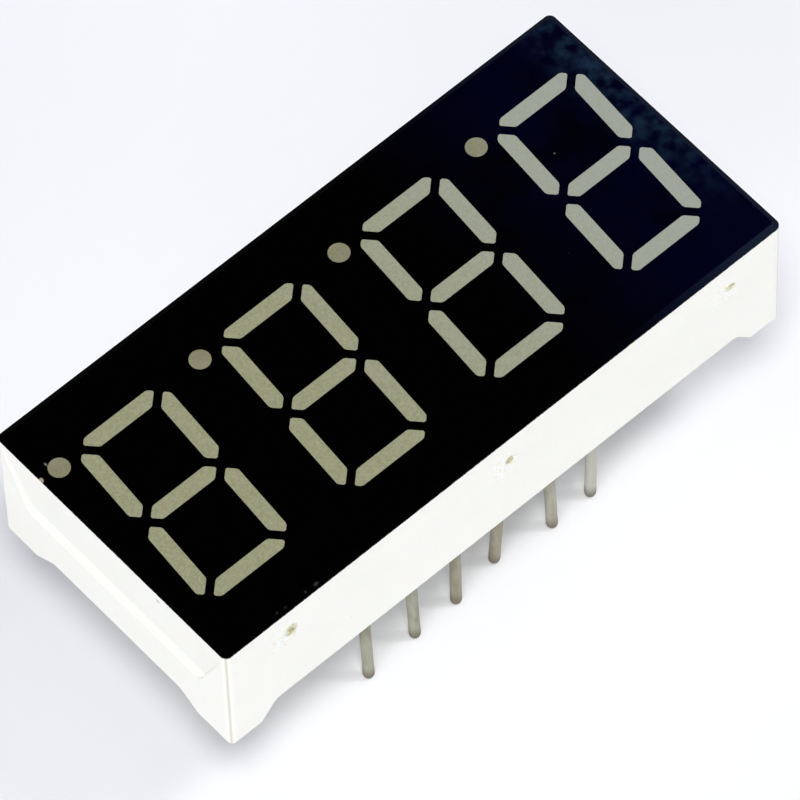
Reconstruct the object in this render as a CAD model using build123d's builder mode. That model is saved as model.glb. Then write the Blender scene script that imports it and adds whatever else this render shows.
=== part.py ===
from build123d import *
import math
import os

# Four-digit seven-segment display in a two-row pin package. It stands on its pin tips:
# the tips are at z = 0, the face looks up, +X is the reading direction and +Y is the top of the digits.

# Body
body_length = 30.1
body_width = 14.0
body_height = 7.3  # face to foot underside
wall_thickness = 0.95
corner_radius = 0.3
face_corner_radius = 0.15  # inside the bevel
bottom_edge_radius = 0.2
rim_bevel_width = 0.3
rim_bevel_height = 0.2
ink_thickness = 0.08

# Feet at the four corners, and the raised wall edges between them
foot_length = 1.5  # along X
foot_width = 1.75  # along Y
long_edge_rise = 1.1
short_edge_rise = 0.85
long_edge_ramp = 0.95
short_edge_ramp = 1.35
ramp_radius = 0.6

# Shallow relief in each end wall, beside the thick front of the reflector
relief_depth = 0.18
relief_height = 3.8
relief_ledge = 0.5
relief_margin = 0.15  # wall left beside the relief at its upper edge
relief_taper = 1.6  # how far each side runs in towards the lower edge
relief_radius = 0.7

# Scars where the three moulding gates were cut off the long wall
gate_spacing = 11.95
gate_shift = -0.2
gate_drop = 1.9  # below the face
gate_pit_length = 0.6
gate_pit_width = 0.36
gate_pit_depth = 0.08
gate_stub_radius = 0.1
gate_stub_proud = 0.03

# Digits
digit_count = 4
digit_rise = 0.15  # digits above the middle of the face
digit_end_margin = 2.385  # top or foot of a digit to the long wall's face
digit_gap = 2.71  # between neighbouring digits
cell_margin = 0.05  # end wall's face to the first digit's cell
segment_width = 0.75
segment_gap = 0.385
corner_tip_shift = 0.14  # the mitred tips at the digit's corners lie outside the middle of the bar
slant_deg = 4.6
corner_cut = 0.065
point_diameter = 0.94
point_offset = 1.24

# Wells behind the windows
well_floor_length = 1.7
well_floor_width = 0.62
point_well_growth = 0.08
front_skin = 1.2
core_margin = 0.6
gap_core_width = 1.3
gap_core_low = 2.7
gap_core_high = 4.1

# Circuit board, chips and bond wires
board_lift = 3.4  # front of the board above the foot undersides
board_thickness = 1.0
board_clearance = 0.1
pad_thickness = 0.035
chip_pad_size = 0.4
wire_pad_size = 0.3
chip_pad_place = -0.22
wire_pad_place = 0.25
chip_size = 0.26
chip_height = 0.2
wire_diameter = 0.05
wire_bend_place = -0.12
wire_loop_height = 0.42

# Pins, numbered from the lower left corner of the face and on round the body
pin_columns = 6
pin_pitch = 2.54
row_inset = 1.92  # pin row to the long wall's face
pin_diameter = 0.5
tin_thickness = 0.01  # coat on the free length of each pin
tin_line_drop = 0.1  # edge of the coat, below the edge of the long wall
pin_projection = 6.6  # foot underside to pin tip
pin_tip_chamfer = 0.09
pin_top_cover = 0.15
solder_radius = 0.62
solder_height = 0.5
potting_recess = 0.4  # resin surface above the edge of the long wall

# Sideways and outward lean of each tip in the upper row, from the +X end
upper_row_leans = ((0.05, 0.27), (-0.08, 0.14), (0.13, 0.08), (0.20, -0.31), (-0.17, 0.07), (0.20, 0.03))

foot_z = pin_projection
face_z = foot_z + body_height
ink_z = face_z - ink_thickness
board_z = foot_z + board_lift
board_back_z = board_z - board_thickness
long_edge_z = foot_z + long_edge_rise
potting_z = long_edge_z + potting_recess
tin_z = long_edge_z - tin_line_drop
pocket_length = body_length - 2 * wall_thickness
pocket_width = body_width - 2 * wall_thickness
digit_pitch = (body_length - 2 * cell_margin) / digit_count
digit_width = digit_pitch - digit_gap
digit_height = body_width - 2 * digit_end_margin
row_spacing = body_width - 2 * row_inset
pin_radius = pin_diameter / 2
wire_core_radius = pin_radius - tin_thickness

# Bar centrelines of one digit
stroke_x = (digit_width - segment_width) / 2
stroke_y = (digit_height - segment_width) / 2
end_setback = segment_gap / math.sqrt(2)

# For each bar: a point on its centreline, the way along it and the way out of the digit
BARS = {
    "a": ((0, stroke_y), (1, 0), (0, 1)),
    "b": ((stroke_x, 0), (0, 1), (1, 0)),
    "c": ((stroke_x, 0), (0, -1), (1, 0)),
    "d": ((0, -stroke_y), (1, 0), (0, -1)),
    "e": ((-stroke_x, 0), (0, -1), (-1, 0)),
    "f": ((-stroke_x, 0), (0, 1), (-1, 0)),
    "g": ((0, 0), (1, 0), (0, 1)),
}


def leaned(x, y):
    """A point of the upright digit, moved over by the slant."""
    return (x + y * math.tan(math.radians(slant_deg)), y)


def bar_ends(name):
    """Start and end of a bar along its centreline, and how far out each tip lies."""
    if name in "ad":
        reach = stroke_x - end_setback + corner_tip_shift
        return -reach, reach, corner_tip_shift, corner_tip_shift
    if name == "g":
        return end_setback - stroke_x, stroke_x - end_setback, 0, 0
    return end_setback, stroke_y - end_setback + corner_tip_shift, 0, corner_tip_shift


def bar_outline(name, start, end, width, start_tip=0, end_tip=0):
    """Six corners of a bar with mitred ends, in the plane of the face."""
    origin, along, out = BARS[name]
    half = width / 2
    corners = (
        (start, start_tip),
        (start + half - start_tip, half),
        (end - half + end_tip, half),
        (end, end_tip),
        (end - half - end_tip, -half),
        (start + half + start_tip, -half),
    )
    return [
        leaned(origin[0] + u * along[0] + v * out[0], origin[1] + u * along[1] + v * out[1])
        for u, v in corners
    ]


def bar_sketch(points, corner):
    """Face inside a closed outline, with its corners cut off."""
    with BuildSketch() as sketch:
        with BuildLine():
            Polyline(*points, close=True)
        make_face()
        chamfer(sketch.vertices(), corner)
    return sketch.sketch


def digit_x(digit):
    return (digit - (digit_count + 1) / 2) * digit_pitch


def window_sketch(name):
    """Window of a bar, or of the decimal point, in the black face."""
    if name == "point":
        with BuildSketch() as sketch:
            with Locations(point_centre):
                Circle(point_diameter / 2)
        return sketch.sketch
    start, end, start_tip, end_tip = bar_ends(name)
    return bar_sketch(bar_outline(name, start, end, segment_width, start_tip, end_tip), corner_cut)


def bar_centre(name):
    """Middle of a bar, or of the point, and the direction along it."""
    if name == "point":
        return point_centre, (1, 0)
    origin, along, _ = BARS[name]
    start, end, _, _ = bar_ends(name)
    middle = (start + end) / 2
    centre = leaned(origin[0] + middle * along[0], origin[1] + middle * along[1])
    return centre, leaned(*along)


def flat_sided_funnel(low, low_z, high, high_z):
    """Solid with flat sides between two outlines that have the same number of corners."""
    floor = [Vector(x, y, low_z) for x, y in low]
    mouth = [Vector(x, y, high_z) for x, y in high]
    rings = [floor, mouth]
    for i in range(len(low)):
        rings.append([floor[i - 1], floor[i], mouth[i], mouth[i - 1]])
    return Solid(Shell([Face(Wire.make_polygon(ring)) for ring in rings]))


def well_solid(digit, name):
    """Funnel from the board up to the underside of the ink."""
    with BuildPart() as well:
        if name == "point":
            mouth_radius = point_diameter / 2
            centre = (digit_x(digit) + point_centre[0], digit_rise + point_centre[1])
            with BuildSketch(Plane((*centre, board_z))):
                Circle(mouth_radius + point_well_growth)
            with BuildSketch(Plane((*centre, ink_z))):
                Circle(mouth_radius)
            loft(ruled=True)
        else:
            start, end, start_tip, end_tip = bar_ends(name)
            middle = (start + end) / 2
            half = well_floor_length / 2
            floor = bar_outline(name, middle - half, middle + half, well_floor_width)
            mouth = bar_outline(name, start, end, segment_width, start_tip, end_tip)
            with Locations((digit_x(digit), digit_rise, 0)):
                add(flat_sided_funnel(floor, board_z, mouth, ink_z))
    return well.part


def chip_plane(digit, name):
    """Front of the board at the middle of a well, with x along the bar."""
    centre, along = bar_centre(name)
    return Plane((digit_x(digit) + centre[0], digit_rise + centre[1], board_z), x_dir=(*along, 0))


def chip_solid(digit, name):
    with BuildPart() as chip:
        with BuildSketch(chip_plane(digit, name)):
            with Locations((chip_pad_place, 0)):
                Rectangle(chip_size, chip_size)
        extrude(amount=chip_height)
    return chip.part


def wire_solid(digit, name):
    """Bond wire: up from the top of the chip, over one bend and down to its pad."""
    board = chip_plane(digit, name)
    upright = Plane(board.origin, x_dir=board.x_dir, z_dir=board.x_dir.cross(board.z_dir))
    with BuildPart() as wire:
        with BuildLine(upright) as loop:
            Polyline((chip_pad_place, chip_height), (wire_bend_place, wire_loop_height), (wire_pad_place, 0))
        with BuildSketch(Plane(origin=loop.line @ 0, z_dir=loop.line % 0)):
            RegularPolygon(wire_diameter / 2, 6)
        sweep(path=loop.line, transition=Transition.RIGHT)
    return wire.part


def bevelled_block(bottom_z, top_z):
    """Rounded rectangular block with the bevel of the face rim along its top."""
    shoulder_z = top_z - rim_bevel_height
    with BuildPart() as block:
        with BuildSketch(Plane.XY.offset(bottom_z)):
            RectangleRounded(body_length, body_width, corner_radius)
        extrude(amount=shoulder_z - bottom_z)
        with BuildSketch(Plane.XY.offset(shoulder_z)):
            RectangleRounded(body_length, body_width, corner_radius)
        with BuildSketch(Plane.XY.offset(top_z)):
            RectangleRounded(body_length - 2 * rim_bevel_width, body_width - 2 * rim_bevel_width, face_corner_radius)
        loft(ruled=True)
    return block.part


def core_sketch(low_left, high_right, shift):
    """Slanted four-sided core between the bars of a digit."""
    x0, y0 = low_left
    x1, y1 = high_right
    with BuildSketch() as sketch:
        with Locations((shift, digit_rise)):
            Polygon(leaned(x0, y0), leaned(x1, y0), leaned(x1, y1), leaned(x0, y1), align=None)
    return sketch.sketch


def pin_place(number):
    """Centre of a pin where it leaves the board, and the lean of its tip."""
    column = (number - 1) % pin_columns
    reach = (pin_columns - 1) / 2 * pin_pitch
    if number <= pin_columns:
        return (column * pin_pitch - reach, -row_spacing / 2), (0, 0)
    return (reach - column * pin_pitch, row_spacing / 2), upper_row_leans[column]


low_right = leaned(stroke_x, -stroke_y)
point_centre = (low_right[0] + point_offset, low_right[1])
digits = range(1, digit_count + 1)
lights = [*BARS, "point"]
pins = range(1, 2 * pin_columns + 1)
windows = {name: window_sketch(name) for name in lights}
wells = {(digit, name): well_solid(digit, name) for digit in digits for name in lights}
os.makedirs("parts", exist_ok=True)

# Reflector shell: one white moulding with the wells, the walls and the feet
with BuildPart() as end_relief:
    upper_z = ink_z - rim_bevel_height
    lower_z = upper_z - relief_height
    with BuildSketch(Plane.XZ):
        Polygon(
            (body_length / 2, upper_z),
            (body_length / 2 - relief_depth, lower_z + relief_ledge),
            (body_length / 2, lower_z),
            align=None,
        )
    extrude(amount=body_width / 2, both=True)
    with BuildSketch(Plane.YZ) as relief_outline:
        upper_half = body_width / 2 - relief_margin
        lower_half = upper_half - relief_taper
        Polygon(
            (-upper_half, upper_z), (upper_half, upper_z), (lower_half, lower_z), (-lower_half, lower_z), align=None
        )
        fillet(relief_outline.vertices().group_by(Axis.Y)[0], relief_radius)
    extrude(amount=body_length, mode=Mode.INTERSECT)

with BuildPart() as reflector_shell:
    add(bevelled_block(foot_z, ink_z))
    fillet(reflector_shell.faces().sort_by(Axis.Z)[0].edges(), bottom_edge_radius)

    # Wall edges raised between the feet, with a ramp down to each foot
    long_gap = body_length / 2 - foot_length
    with BuildSketch(Plane.XZ) as long_edges:
        Polygon(
            (-long_gap, foot_z),
            (long_gap, foot_z),
            (long_gap - long_edge_ramp, long_edge_z),
            (long_edge_ramp - long_gap, long_edge_z),
            align=None,
        )
        fillet(long_edges.vertices().group_by(Axis.Y)[-1], ramp_radius)
    extrude(amount=body_width, both=True, mode=Mode.SUBTRACT)
    short_gap = body_width / 2 - foot_width
    with BuildSketch(Plane.YZ) as short_edges:
        Polygon(
            (-short_gap, foot_z),
            (short_gap, foot_z),
            (short_gap - short_edge_ramp, foot_z + short_edge_rise),
            (short_edge_ramp - short_gap, foot_z + short_edge_rise),
            align=None,
        )
        fillet(short_edges.vertices().group_by(Axis.Y)[-1], ramp_radius)
    extrude(amount=body_length, both=True, mode=Mode.SUBTRACT)

    # Pocket that takes the board and the resin behind it
    with BuildSketch(Plane.XY.offset(foot_z)):
        Rectangle(pocket_length, pocket_width)
    extrude(amount=board_z - foot_z, mode=Mode.SUBTRACT)

    # Cores inside both loops of each digit and between neighbouring digits
    core_x = stroke_x - segment_width / 2 - core_margin
    core_low = segment_width / 2 + core_margin
    core_high = stroke_y - segment_width / 2 - core_margin
    gap_core_x = stroke_x + segment_width / 2 + core_margin
    with BuildSketch(Plane.XY.offset(board_z)):
        for digit in digits:
            add(core_sketch((-core_x, core_low), (core_x, core_high), digit_x(digit)))
            add(core_sketch((-core_x, -core_high), (core_x, -core_low), digit_x(digit)))
            if digit < digit_count:
                low, high = (gap_core_x, -gap_core_low), (gap_core_x + gap_core_width, gap_core_high)
                add(core_sketch(low, high, digit_x(digit)))
    extrude(amount=face_z - front_skin - board_z, mode=Mode.SUBTRACT)

    add(wells.values(), mode=Mode.SUBTRACT)

    add(end_relief.part, mode=Mode.SUBTRACT)
    add(end_relief.part.mirror(Plane.YZ), mode=Mode.SUBTRACT)

    # Gate scars: a torn pit with the stub of the gate left in it
    gate_wall = Plane(
        origin=(gate_shift, body_width / 2, face_z - gate_drop), x_dir=(-1, 0, 0), z_dir=(0, 1, 0)
    )
    with BuildSketch(gate_wall):
        with GridLocations(gate_spacing, 0, 3, 1):
            Ellipse(gate_pit_length / 2, gate_pit_width / 2)
    extrude(amount=-gate_pit_depth, mode=Mode.SUBTRACT)
    with BuildSketch(gate_wall.offset(-gate_pit_depth)):
        with GridLocations(gate_spacing, 0, 3, 1):
            Circle(gate_stub_radius)
    extrude(amount=gate_pit_depth + gate_stub_proud)
reflector_shell.part.label = "reflector_shell"
export_step(reflector_shell.part, "parts/reflector_shell.step")

# Black ink over the face and its bevel, open at every segment and point
with BuildPart() as face_mask:
    add(bevelled_block(ink_z - rim_bevel_height, face_z))
    add(bevelled_block(ink_z - 2 * rim_bevel_height, ink_z), mode=Mode.SUBTRACT)
    with BuildSketch(Plane.XY.offset(face_z)):
        for digit in digits:
            with Locations((digit_x(digit), digit_rise)):
                add(windows.values())
    extrude(amount=-ink_thickness, mode=Mode.SUBTRACT)
face_mask.part.label = "face_mask"
export_step(face_mask.part, "parts/face_mask.step")

# Bonding pads, level with the front of the board
with BuildPart() as bond_pads:
    for digit in digits:
        for name in lights:
            with BuildSketch(chip_plane(digit, name)):
                with Locations((chip_pad_place, 0)):
                    Rectangle(chip_pad_size, chip_pad_size)
                with Locations((wire_pad_place, 0)):
                    Rectangle(wire_pad_size, wire_pad_size)
    extrude(amount=-pad_thickness)
bond_pads.part.label = "bond_pads"
export_step(bond_pads.part, "parts/bond_pads.step")

# Circuit board: closes the wells and carries the pins
with BuildPart() as circuit_board:
    with BuildSketch(Plane.XY.offset(board_z)):
        Rectangle(pocket_length - 2 * board_clearance, pocket_width - 2 * board_clearance)
        with GridLocations(pin_pitch, row_spacing, pin_columns, 2):
            Circle(wire_core_radius, mode=Mode.SUBTRACT)
    extrude(amount=-board_thickness)
    add(bond_pads.part, mode=Mode.SUBTRACT)
circuit_board.part.label = "circuit_board"
export_step(circuit_board.part, "parts/circuit_board.step")

# Chips and bond wires of each digit, with the resin that fills its wells
for digit in digits:
    chips = {name: chip_solid(digit, name) for name in lights}
    with BuildPart() as led_chips:
        add(chips.values())
    led_chips.part.label = f"digit_{digit}_led_chips"
    export_step(led_chips.part, f"parts/digit_{digit}_led_chips.step")

    wires = {name: wire_solid(digit, name) for name in lights}
    with BuildPart() as bond_wires:
        add(wires.values())
    bond_wires.part.label = f"digit_{digit}_bond_wires"
    export_step(bond_wires.part, f"parts/digit_{digit}_bond_wires.step")

    for name in lights:
        with BuildPart() as fill:
            add(wells[digit, name])
            with BuildSketch(Plane((digit_x(digit), digit_rise, ink_z))):
                add(windows[name])
            extrude(amount=ink_thickness)
            add([chips[name], wires[name]], mode=Mode.SUBTRACT)
        label = f"digit_{digit}_point" if name == "point" else f"digit_{digit}_segment_{name}"
        fill.part.label = label
        export_step(fill.part, f"parts/{label}.step")

# Pins: round wire, straight down to the level of the feet, then each with its own small lean
for number in pins:
    (x, y), (lean_x, lean_y) = pin_place(number)
    tip = (x + lean_x, y + lean_y, 0)
    with BuildPart() as pin:
        with BuildSketch(Plane((x, y, tin_z))):
            Circle(pin_radius)
        extrude(amount=foot_z - tin_z)
        with BuildSketch(Plane((x, y, foot_z))):
            Circle(pin_radius)
        with BuildSketch(Plane(tip).offset(pin_tip_chamfer)):
            Circle(pin_radius)
        loft(ruled=True)
        with BuildSketch(Plane(tip).offset(pin_tip_chamfer)):
            Circle(pin_radius)
        with BuildSketch(Plane(tip)):
            Circle(pin_radius - pin_tip_chamfer)
        loft(ruled=True)
        with BuildSketch(Plane((x, y, tin_z))):
            Circle(wire_core_radius)
        extrude(amount=board_z - pin_top_cover - tin_z)
    pin.part.label = f"pin_{number:02d}"
    export_step(pin.part, f"parts/pin_{number:02d}.step")

# Solder: a cone round each pin, on the back of the board
with BuildPart() as solder_joint:
    with BuildSketch(Plane.XZ):
        Polygon(
            (wire_core_radius, board_back_z - solder_height),
            (solder_radius, board_back_z),
            (wire_core_radius, board_back_z),
            align=None,
        )
    revolve(axis=Axis.Z)

with BuildPart() as solder_joints:
    with GridLocations(pin_pitch, row_spacing, pin_columns, 2):
        add(solder_joint.part)
solder_joints.part.label = "solder_joints"
export_step(solder_joints.part, "parts/solder_joints.step")

# Resin poured over the back of the board, around the solder and the pins
with BuildPart() as back_potting:
    with BuildSketch(Plane.XY.offset(potting_z)):
        Rectangle(pocket_length, pocket_width)
        with GridLocations(pin_pitch, row_spacing, pin_columns, 2):
            Circle(wire_core_radius, mode=Mode.SUBTRACT)
    extrude(amount=board_back_z - potting_z)
    add(solder_joints.part, mode=Mode.SUBTRACT)
back_potting.part.label = "back_potting"
export_step(back_potting.part, "parts/back_potting.step")
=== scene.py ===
import math

import bmesh
import bpy
from mathutils import Matrix, Vector


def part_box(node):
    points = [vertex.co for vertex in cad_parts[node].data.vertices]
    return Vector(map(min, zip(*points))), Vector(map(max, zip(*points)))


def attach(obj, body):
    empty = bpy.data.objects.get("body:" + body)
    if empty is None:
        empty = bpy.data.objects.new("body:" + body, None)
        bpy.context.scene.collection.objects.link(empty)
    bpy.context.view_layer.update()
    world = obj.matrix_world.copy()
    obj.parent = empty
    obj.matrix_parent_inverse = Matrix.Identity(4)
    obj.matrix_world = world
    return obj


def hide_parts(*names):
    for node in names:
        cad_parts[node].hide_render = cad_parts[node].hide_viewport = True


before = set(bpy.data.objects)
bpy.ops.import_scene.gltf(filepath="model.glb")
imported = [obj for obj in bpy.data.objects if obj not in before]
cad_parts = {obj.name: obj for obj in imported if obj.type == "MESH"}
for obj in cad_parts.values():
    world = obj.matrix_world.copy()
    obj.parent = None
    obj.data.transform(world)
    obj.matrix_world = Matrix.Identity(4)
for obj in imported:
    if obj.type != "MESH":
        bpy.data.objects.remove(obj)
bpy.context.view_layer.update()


# Reflector shell: the white body, moulded in one piece from a filled, opaque plastic.
# The walls keep the fine grain of the mould, and the three gates on the long wall were torn off,
# which left a stained pit and a whitened, stressed patch beside each.
mm = 0.001


class Signal:
    """A socket of a finish's nodes that takes part in sums as a number does."""

    def __init__(self, finish, socket):
        self.finish = finish
        self.socket = socket

    def sum(self, operation, *terms):
        return self.finish.node("Math", {"operation": operation}, terms)

    def __add__(self, other):
        return self.sum("ADD", self, other)

    def __sub__(self, other):
        return self.sum("SUBTRACT", self, other)

    def __mul__(self, other):
        return self.sum("MULTIPLY", self, other)

    def __radd__(self, other):
        return self.sum("ADD", other, self)

    def __rsub__(self, other):
        return self.sum("SUBTRACT", other, self)

    def __rmul__(self, other):
        return self.sum("MULTIPLY", other, self)

    def __abs__(self):
        return self.sum("ABSOLUTE", self)

    def rise(self, start, end):
        """0 below start, 1 above end, smooth in between; start may be the higher one."""
        settings = {"interpolation_type": "SMOOTHSTEP"}
        return self.finish.node("MapRange", settings, {"Value": self, "From Min": start, "From Max": end})


class Finish:
    """A material: fixed values on its shader, and nodes for what changes over the surface."""

    def __init__(self, name, **fixed):
        self.material = bpy.data.materials.new(name)
        self.material.use_nodes = True
        self.tree = self.material.node_tree
        self.shader = self.tree.nodes["Principled BSDF"]
        for socket, value in fixed.items():
            self.shader.inputs[socket.replace("_", " ").title().replace("Ior", "IOR")].default_value = value
        metres = self.node("TexCoord", output="Object")
        self.place = self.node("VectorMath", {"operation": "SCALE"}, {0: metres, 3: 1 / mm})

    def node(self, kind, settings=None, sockets=None, output=0):
        """One output of a new node, whose settings are filled before its sockets."""
        node = self.tree.nodes.new("ShaderNode" + kind)
        for name, value in (settings or {}).items():
            setattr(node, name, value)
        if not isinstance(sockets, dict):
            sockets = dict(enumerate(sockets or ()))
        for name, value in sockets.items():
            if isinstance(value, Signal):
                self.tree.links.new(value.socket, node.inputs[name])
            else:
                node.inputs[name].default_value = value
        return Signal(self, node.outputs[output])

    def feed(self, **signals):
        """Joins signals to the shader's sockets."""
        for name, signal in signals.items():
            self.tree.links.new(signal.socket, self.shader.inputs[name.replace("_", " ").title()])

    def mix(self, factor, low, high):
        """The colour low where factor is 0 and high where it is 1."""
        return self.node("Mix", {"data_type": "RGBA"}, {0: factor, 6: low, 7: high}, 2)

    def grain(self, size, detail=3.0, roughness=0.5, at=None):
        """Cloudy pattern, from 0 to 1, whose lumps are about size mm across."""
        sockets = {"Vector": at or self.place, "Scale": 1 / size, "Detail": detail, "Roughness": roughness}
        return self.node("TexNoise", None, sockets)

    def specks(self, spacing, radius, share):
        """Round specks of up to radius mm, in a share of cells that are spacing mm across."""
        cells = {"Vector": self.place, "Scale": 1 / spacing}
        distance = self.node("TexVoronoi", None, cells)
        chance = self.node("TexVoronoi", None, cells, "Color")
        chosen = self.node("SeparateColor", None, {0: chance}).rise(share, share - 0.001)
        return distance.rise(radius / spacing, radius / spacing * 0.4) * chosen

    def spot(self, centre, radius, edge=0.3, stretch=(1, 1, 1)):
        """1 inside a round or stretched spot and 0 outside, with an edge that is a share of radius wide."""
        offset = self.node("VectorMath", {"operation": "SUBTRACT"}, {0: self.place, 1: centre})
        scaled = self.node("VectorMath", {"operation": "MULTIPLY"}, {0: offset, 1: stretch})
        length = self.node("VectorMath", {"operation": "LENGTH"}, {0: scaled}, "Value")
        return length.rise(radius * (1 + edge), radius * (1 - edge))

    def axis(self, letter):
        """One coordinate of the surface, in mm."""
        return self.node("SeparateXYZ", None, {0: self.place}, letter)

    def relief(self, height, depth, onto=None):
        """Normal of a surface whose height, from 0 to 1, stands for depth mm."""
        sockets = {"Height": height, "Strength": 1.0, "Distance": depth * mm}
        if onto:
            sockets["Normal"] = onto
        return self.node("Bump", None, sockets)


def dress(finish, slot, *nodes):
    """Gives CAD nodes their finish. The slot is not used."""
    for name in nodes:
        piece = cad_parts[name]
        piece.data.materials.clear()
        piece.data.materials.append(finish.material)


shell_low, shell_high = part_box("reflector_shell")
wall_y = shell_high.y / mm
end_x = shell_high.x / mm
face_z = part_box("face_mask")[1].z / mm
gate_drop = 1.9
gates = [Vector((x, wall_y, face_z - gate_drop)) for x in (-12.15, -0.2, 11.75)]
stains = (  # how far each lies from its gate, its half length and half height, and how strong it is
    ((-0.08, 0, 0.02), 0.24, 0.20, 0.75),
    ((0.10, 0, 0.04), 0.22, 0.24, 0.90),
    ((-0.13, 0, 0.14), 0.28, 0.36, 1.00),
)
ivory, pale_ivory = (0.925, 0.915, 0.830, 1), (0.940, 0.930, 0.855, 1)
dust_grey = (0.45, 0.42, 0.33, 1)
stress_white, stress_yellow = (1.0, 1.0, 0.97, 1), (0.84, 0.80, 0.46, 1)
torn_olive, scorch_brown = (0.54, 0.52, 0.28, 1), (0.46, 0.34, 0.19, 1)
grease_olive, corner_shade_grey = (0.48, 0.43, 0.22, 1), (0.52, 0.49, 0.36, 1)

shell_white = Finish(
    "shell_white", roughness=0.46, ior=1.52, subsurface_weight=0.12, subsurface_scale=0.0006
)
tone = shell_white.mix(shell_white.grain(2.6, 4).rise(0.25, 0.75), ivory, pale_ivory)
tone = shell_white.mix(shell_white.specks(1.7, 0.05, 0.12) * 0.35, tone, dust_grey)

flakes = shell_white.grain(0.15, 2)
lumps = 0
for gate, (offset, length, height, strength) in zip(gates, stains):
    middle = gate + Vector(offset)
    stretch = (1, 0.5, length / height)
    whitened = shell_white.spot(middle + Vector((0.35, 0, -0.20)), 0.70, 0.7, (1, 0.5, 1)) * strength
    lumps = whitened * flakes.rise(0.35, 0.65) + lumps
    tone = shell_white.mix(whitened * flakes.rise(0.60, 0.40), tone, stress_white)
    tone = shell_white.mix(whitened * flakes.rise(0.54, 0.66) * 0.8, tone, stress_yellow)
    torn = shell_white.spot(middle, length, 0.4, stretch) * shell_white.grain(0.16, 2).rise(0.15, 0.5)
    tone = shell_white.mix(torn * strength, tone, torn_olive)
    scorch = shell_white.spot(middle, length * 0.4, 0.8, stretch)
    tone = shell_white.mix(scorch * strength * 0.5, tone, scorch_brown)

grease = shell_white.spot((end_x, 2.86, face_z - 0.84), 0.11, 0.5)
tone = shell_white.mix(grease * 0.75, tone, grease_olive)
# Painted shade: a thin grey line down each vertical corner, where the rounded edge faces neither lamp.
corner_shade_line = abs(shell_white.axis("X")) + abs(shell_white.axis("Y"))
corner_shade_line = corner_shade_line.rise(end_x + wall_y - 0.224, end_x + wall_y - 0.20)
tone = shell_white.mix(corner_shade_line * 0.8, tone, corner_shade_grey)

mould_grain = shell_white.relief(lumps, 0.02, shell_white.relief(shell_white.grain(0.16, 3), 0.004))
shell_white.feed(
    base_color=tone,
    roughness=0.40 + 0.14 * shell_white.grain(0.9, 3),
    normal=shell_white.relief(shell_white.grain(3.5, 2), 0.02, mould_grain),
)
dress(shell_white, "shell_plastic", "reflector_shell")


# Face ink: a black film printed over the front and its bevel, with a window for every light.
# It is matt and near black; rubbing has taken specks of it off the bevel, where the white shows. A blue
# haze and bloom towards the far end, and a lighter far bevel, are painted sheen.
rubbed = (  # middle, radius, stretch and strength of each worn speck
    ((10.10, 6.88, face_z), 0.10, (0.7, 1.3, 1), 0.20),
    ((10.66, 6.88, face_z), 0.08, (1, 1, 1), 0.28),
    ((11.72, 6.88, face_z), 0.08, (0.7, 1, 1), 0.14),
    ((12.14, 6.85, face_z), 0.07, (0.7, 1, 1), 0.16),
    ((12.86, 7.0, face_z - 0.07), 0.07, (0.6, 1, 1), 0.20),
    ((13.60, 6.85, face_z), 0.05, (0.7, 1, 1), 0.08),
    ((14.47, -4.56, face_z), 0.07, (1.6, 0.8, 1), 0.35),
    ((-10.48, -1.71, face_z), 0.035, (1, 1, 1), 0.35),
)
deep_black, haze_sheen_blue = (0.0002, 0.0002, 0.0002, 1), (0.0006, 0.0007, 0.0105, 1)
bloom_sheen_blue, bevel_sheen = (0.013, 0.030, 0.060, 1), (0.008, 0.012, 0.024, 1)
bare_plastic, nick_brown = (0.55, 0.54, 0.44, 1), (0.42, 0.35, 0.27, 1)
lint_grey, ragged_brown = (0.3, 0.3, 0.3, 1), (0.55, 0.50, 0.40, 1)

ink_black = Finish("ink_black", roughness=0.5, specular_ior_level=0.006)
x, y, z = (ink_black.axis(letter) for letter in "XYZ")
# Painted sheen: a blue haze over the far end of the face, and a bluer bloom at that end.
painted_haze = x.rise(-3, -14) * ink_black.grain(2.5, 3).rise(0.15, 0.6)
film = ink_black.mix(painted_haze, deep_black, haze_sheen_blue)
painted_bloom = x.rise(-12.5, -14.5) * y.rise(6, -1) * ink_black.grain(0.7, 4).rise(0.35, 0.75)
film = ink_black.mix(painted_bloom * 0.8, film, bloom_sheen_blue)
# Painted sheen: the bevel is lighter and bluer towards the far end.
bevel = z.rise(face_z - 0.02, face_z - 0.05)
film = ink_black.mix(bevel * x.rise(-6, -15), film, bevel_sheen)
for centre, radius, stretch, share in rubbed:
    worn = ink_black.spot(centre, radius, 0.6, stretch) * ink_black.grain(0.05, 2).rise(0.25, 0.55)
    film = ink_black.mix(worn * share, film, bare_plastic)
nick = ink_black.spot((end_x, -4.21, face_z - 0.2), 0.12, 0.3)
film = ink_black.mix(nick * 0.9, film, nick_brown)
film = ink_black.mix(ink_black.specks(1.1, 0.03, 0.06) * 0.06, film, lint_grey)
ragged = z.rise(face_z - 0.20, face_z - 0.27) * ink_black.grain(0.14, 3).rise(0.50, 0.62)
film = ink_black.mix(ragged * 0.7, film, ragged_brown)
ink_black.feed(
    base_color=film,
    roughness=0.42 + 0.2 * ink_black.grain(0.5, 3),
    normal=ink_black.relief(ink_black.grain(0.12, 2), 0.003),
)
dress(ink_black, "face_ink", "face_mask")


# Lights: milky, grey-olive casting resin that fills each well up to the face.
# Each light is one casting, clouded by its diffuser powder; the small points look darker.
bar_dark, bar_pale = (0.268, 0.270, 0.148, 1), (0.375, 0.378, 0.225, 1)
point_dark, point_pale = (0.205, 0.200, 0.103, 1), (0.260, 0.248, 0.142, 1)
cloud_amber, far_sheen_grey = (0.36, 0.32, 0.22, 1), (0.38, 0.42, 0.40, 1)


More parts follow.
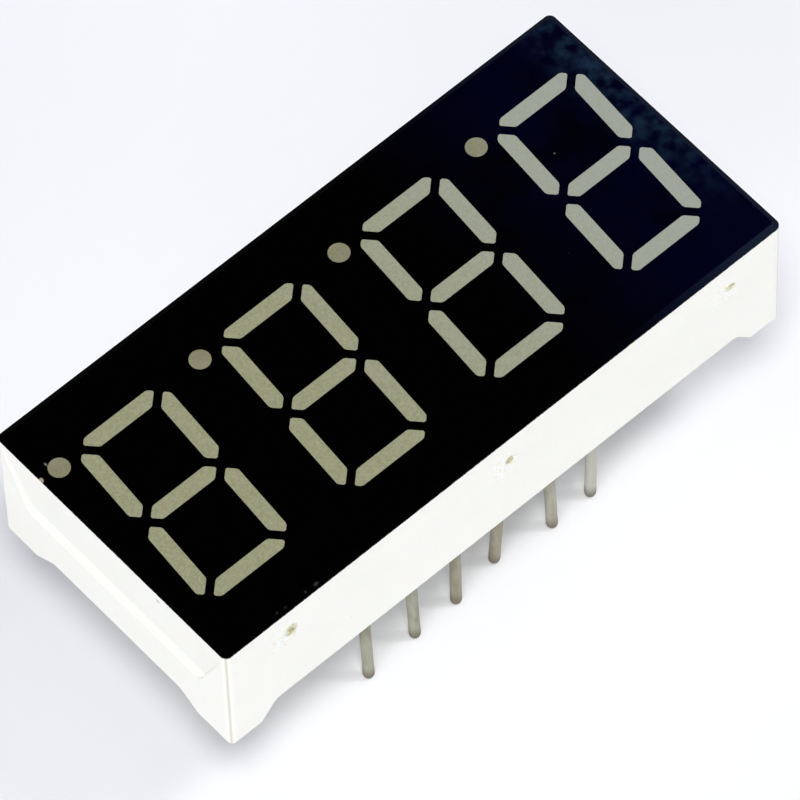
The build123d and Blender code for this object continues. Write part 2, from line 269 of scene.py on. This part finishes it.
def light_finish(name, dark, pale, far_sheen_share):
    """Casting resin between two colours, with painted sheen lightening it a little towards the far end of
    the display.
    """
    finish = Finish(name, roughness=0.42, ior=1.54, subsurface_weight=0.10, subsurface_scale=0.0004)
    powder = finish.grain(0.11, 3, 0.6).rise(0.25, 0.75)
    body = finish.mix(powder, dark, pale)
    body = finish.mix(finish.grain(0.9, 2).rise(0.40, 0.75) * 0.35, body, cloud_amber)
    # Painted sheen: lighter and greyer towards the far end.
    body = finish.mix(finish.axis("X").rise(6, -15) * far_sheen_share, body, far_sheen_grey)
    finish.feed(base_color=body, roughness=0.36 + 0.16 * finish.grain(0.4, 3))
    finish.feed(normal=finish.relief(finish.grain(0.3, 3), 0.004))
    return finish


bar_resin = light_finish("bar_resin", bar_dark, bar_pale, 0.6)
point_resin = light_finish("point_resin", point_dark, point_pale, 0.1)
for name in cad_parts:
    if "_segment_" in name:
        dress(bar_resin, "segment_resin", name)
    if name.endswith("_point"):
        dress(point_resin, "segment_resin", name)


# Circuit board: brown laminate that closes the wells, with gold pads level with its front.
# The chips sit on the large pads, and a gold wire runs from each to the small pad.
laminate_brown, laminate_pale = (0.30, 0.24, 0.10, 1), (0.38, 0.31, 0.14, 1)
deep_gold, pale_gold = (0.80, 0.56, 0.22, 1), (0.86, 0.64, 0.30, 1)
chip_dark, chip_pale = (0.20, 0.03, 0.02, 1), (0.26, 0.06, 0.04, 1)

laminate = Finish("laminate", roughness=0.6, ior=1.5)
weave = laminate.grain(0.25, 2)
laminate.feed(base_color=laminate.mix(weave, laminate_brown, laminate_pale))
dress(laminate, "board_laminate", "circuit_board")

gold = Finish("gold", metallic=1.0, roughness=0.3)
gold.feed(base_color=gold.mix(gold.grain(0.1), deep_gold, pale_gold))
crystal = Finish("crystal", roughness=0.25, ior=2.4)
crystal.feed(base_color=crystal.mix(crystal.grain(0.1), chip_dark, chip_pale))
dress(gold, "bond_gold", "bond_pads")
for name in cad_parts:
    if name.endswith("bond_wires"):
        dress(gold, "bond_gold", name)
    if name.endswith("led_chips"):
        dress(crystal, "led_crystal", name)


# Pins: round wire, dipped in tin after it was set in the board, so each tip ends in a soft bead.
# The coat is dull and blotchy, and the upper row stands a little askew.
# Solder cones hold the pins at the back of the board.
tin_dark, tin_pale = (0.235, 0.22, 0.145, 1), (0.385, 0.375, 0.285, 1)
tarnish_brown, far_sheen_tin = (0.33, 0.25, 0.17, 1), (0.66, 0.66, 0.60, 1)
tip_shade_brown = (0.13, 0.10, 0.065, 1)
solder_grey, solder_pale = (0.60, 0.60, 0.60, 1), (0.72, 0.72, 0.70, 1)

tin = Finish("tin", metallic=0.15, roughness=0.5)
tin_x, tin_y, tin_z = (tin.axis(letter) for letter in "XYZ")
along = tin.node("CombineXYZ", None, (tin_x * 2.0, tin_y * 2.0, tin_z * 0.5))
blotch = tin.grain(0.9, 4, 0.6, along).rise(0.3, 0.7)
coat = tin.mix(blotch, tin_dark, tin_pale)
coat = tin.mix(tin.grain(1.6, 2, 0.5, along).rise(0.48, 0.72) * 0.5, coat, tarnish_brown)
# Painted sheen: the pins towards the far end are lighter.
coat = tin.mix(tin_x.rise(-2.5, -6.5) * 0.55, coat, far_sheen_tin)
# Painted shade: each pin darkens towards its tip, where it meets its shadow on the table.
coat = tin.mix(tin_z.rise(1.1, 0.1) * 0.95, coat, tip_shade_brown)
tin.feed(base_color=coat, roughness=0.38 + 0.25 * tin.grain(0.2, 3))
tin.feed(normal=tin.relief(tin.grain(0.12, 3), 0.004))


def new_piece(name, shape, finish, slot, *replaced):
    """Makes a piece from a bmesh, dressed, riding on the display and standing for CAD nodes."""
    bmesh.ops.recalc_face_normals(shape, faces=shape.faces[:])
    mesh = bpy.data.meshes.new(name)
    shape.to_mesh(mesh)
    shape.free()
    mesh.shade_smooth()
    piece = bpy.data.objects.new(name, mesh)
    bpy.context.collection.objects.link(piece)
    mesh.materials.append(finish.material)
    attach(piece, "root")
    if replaced:
        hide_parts(*replaced)
    return piece


foot_z = shell_low.z
pin_count = 12
pin_sides = 24
pin_radius = 0.25 * mm
bead = (  # radius and height of the coated wire in mm, from the tip up
    (0.0, 0.0),
    (0.07, 0.004),
    (0.135, 0.022),
    (0.19, 0.06),
    (0.232, 0.125),
    (0.251, 0.22),
    (0.256, 0.36),
    (0.254, 0.7),
    (0.249, 1.3),
    (0.251, 2.4),
    (0.249, 4.0),
    (0.25, 6.6),
    (0.25, 7.55),
    (0.24, 7.6),
    (0.24, 9.85),
    (0.0, 9.85),
)
for number in range(1, pin_count + 1):
    low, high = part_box(f"pin_{number:02d}")
    # The lower row stands straight, so it also says where the leaning pins opposite it start.
    twin_low, twin_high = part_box(f"pin_{min(number, pin_count + 1 - number):02d}")
    foot = (twin_low + twin_high) / 2
    if number > pin_count / 2:
        foot.y = -foot.y
    lean = low + high - 2 * foot
    shape = bmesh.new()
    profile = [shape.verts.new((radius * mm, 0, height * mm)) for radius, height in bead]
    edges = [shape.edges.new(pair) for pair in zip(profile, profile[1:])]
    bmesh.ops.spin(
        shape,
        geom=profile + edges,
        cent=(0, 0, 0),
        axis=(0, 0, 1),
        angle=math.tau,
        steps=pin_sides,
        use_merge=True,
    )
    bmesh.ops.remove_doubles(shape, verts=shape.verts[:], dist=1e-7)
    shear = Matrix.Identity(4)
    shear[0][2], shear[1][2] = -lean.x / foot_z, -lean.y / foot_z
    shear[0][3], shear[1][3] = lean.x, lean.y
    below = [vert for vert in shape.verts if vert.co.z < foot_z]
    bmesh.ops.transform(shape, matrix=shear, verts=below)
    bmesh.ops.translate(shape, vec=(foot.x, foot.y, 0), verts=shape.verts[:])
    name = f"pin_{number:02d}"
    new_piece(f"tinned_{name}", shape, tin, "pin_tin", name)

solder = Finish("solder", metallic=1.0, roughness=0.35)
solder.feed(base_color=solder.mix(solder.grain(0.3), solder_grey, solder_pale))
dress(solder, "solder", "solder_joints")


# Back resin: poured behind the board, round the pins, and left to set.
# It wets the walls and the pins, so it creeps up them in a thin, smooth fillet.
resin_grey, resin_pale = (0.52, 0.51, 0.42, 1), (0.62, 0.61, 0.52, 1)
bubble_pale = (0.75, 0.75, 0.68, 1)

potting = Finish("potting", roughness=0.22, ior=1.55, subsurface_weight=0.2, subsurface_scale=0.0008)
pour = potting.grain(2.5, 3)
base = potting.mix(pour, resin_grey, resin_pale)
base = potting.mix(potting.specks(1.3, 0.09, 0.3) * 0.25, base, bubble_pale)
potting.feed(base_color=base, roughness=0.18 + 0.14 * potting.grain(1.2, 3))
potting.feed(normal=potting.relief(potting.grain(3.0, 2), 0.03))

low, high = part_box("back_potting")
creep_height, wall_reach, pin_reach = 0.16 * mm, 0.35 * mm, 0.22 * mm
pin_share = 0.8  # of the creep at the walls
shape = bmesh.new()
bmesh.ops.create_grid(shape, x_segments=170, y_segments=74, size=0.5)
centre = (low + high) / 2
bmesh.ops.scale(shape, vec=(high.x - low.x, high.y - low.y, 1), verts=shape.verts[:])
bmesh.ops.translate(shape, vec=(centre.x, centre.y, low.z), verts=shape.verts[:])
extruded = bmesh.ops.extrude_face_region(shape, geom=shape.faces[:])
lid = {item for item in extruded["geom"] if isinstance(item, bmesh.types.BMVert)}
feet = []
for number in range(1, pin_count // 2 + 1):
    pin_low, pin_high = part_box(f"pin_{number:02d}")
    foot = (pin_low + pin_high) / 2
    feet += [Vector((foot.x, foot.y)), Vector((foot.x, -foot.y))]
for vert in shape.verts:
    if vert in lid:
        vert.co.z = high.z
        continue
    to_wall = min(vert.co.x - low.x, high.x - vert.co.x, vert.co.y - low.y, high.y - vert.co.y)
    to_pin = max(0, min((vert.co.xy - foot).length for foot in feet) - pin_radius)
    creep = math.exp(-to_wall / wall_reach) + pin_share * math.exp(-to_pin / pin_reach)
    vert.co.z -= creep_height * creep
new_piece("poured_resin", shape, potting, "potting_resin", "back_potting")


# Table, light and camera: white paper under four soft lamps, in a dim, bluish room.
# The steep key lamp gives the short shade between the pins, and the low ones brighten the walls.
table_reach = 0.6
backdrop_share = 0.04  # of plain white that the camera sees in the paper
paper_white, room_blue = (0.96, 0.965, 0.985, 1), (0.79, 0.83, 1.0, 1)
cool_white = (0.96, 0.975, 1.0)

mesh = bpy.data.meshes.new("table_top")
paper_shape = bmesh.new()
bmesh.ops.create_grid(paper_shape, x_segments=1, y_segments=1, size=table_reach)
paper_shape.to_mesh(mesh)
paper_shape.free()
floor = bpy.data.objects.new("table_top", mesh)
bpy.context.collection.objects.link(floor)
paper = Finish("paper", base_color=paper_white, roughness=0.9, specular_ior_level=0.1)
glow = paper.node("Emission", None, {"Color": (1, 1, 1, 1), "Strength": 1.0})
camera_rays = paper.node("LightPath", None, None, "Is Camera Ray")
glossy_rays = paper.node("LightPath", None, None, "Is Glossy Ray")
seen = camera_rays.sum("MAXIMUM", camera_rays, glossy_rays)
shade = Signal(paper, paper.shader.outputs[0])
joined = paper.node("MixShader", None, {0: seen * backdrop_share, 1: shade, 2: glow})
paper.tree.links.new(joined.socket, paper.tree.nodes["Material Output"].inputs["Surface"])
floor.data.materials.append(paper.material)


def softbox(name, way, distance, size, watts, colour):
    """Square soft lamp that hangs off in one direction and faces the display."""
    lamp = bpy.data.lights.new(name, "AREA")
    lamp.energy = watts
    lamp.size = size
    lamp.color = colour
    holder = bpy.data.objects.new(name, lamp)
    holder.location = Vector(way).normalized() * distance
    holder.rotation_mode = "QUATERNION"
    holder.rotation_quaternion = Vector(way).to_track_quat("Z", "Y")
    bpy.context.collection.objects.link(holder)


softbox("key_box", (0.28, 0.33, 1.0), 1.2, 0.30, 7.3, (1.0, 0.99, 0.97))
softbox("right_box", (-0.5, 0.36, 1.0), 1.2, 0.2, 2.9, (1.0, 0.99, 0.96))
softbox("left_box", (0.95, 0.35, 0.25), 0.8, 0.34, 2.25, cool_white)
softbox("front_box", (-0.35, 0.9, 0.3), 0.8, 0.34, 0.56, cool_white)

world = bpy.data.worlds.new("room")
bpy.context.scene.world = world
world.use_nodes = True
room_light = world.node_tree.nodes["Background"]
room_light.inputs["Color"].default_value = room_blue
room_light.inputs["Strength"].default_value = 0.30

# The camera stands where the photograph was taken from.
focal_px, frame_px, sensor = 9581.5, 800, 36.0
camera_data = bpy.data.cameras.new("camera")
camera_data.sensor_width = sensor
camera_data.lens = focal_px / frame_px * sensor
camera = bpy.data.objects.new("camera", camera_data)
bpy.context.collection.objects.link(camera)
stand = Vector((129.05, 155.18, 344.006)) * mm
right = Vector((-0.745301, 0.666404, -0.020792))
down = Vector((0.579395, 0.631931, -0.514746))
ahead = Vector((-0.32989, -0.395687, -0.857091))
turn = Matrix((right, -down, -ahead)).transposed().to_4x4()
camera.matrix_world = Matrix.Translation(stand) @ turn
camera_data.clip_start, camera_data.clip_end = 0.01, 10
bpy.context.scene.camera = camera
bpy.context.scene.view_settings.view_transform = "Standard"
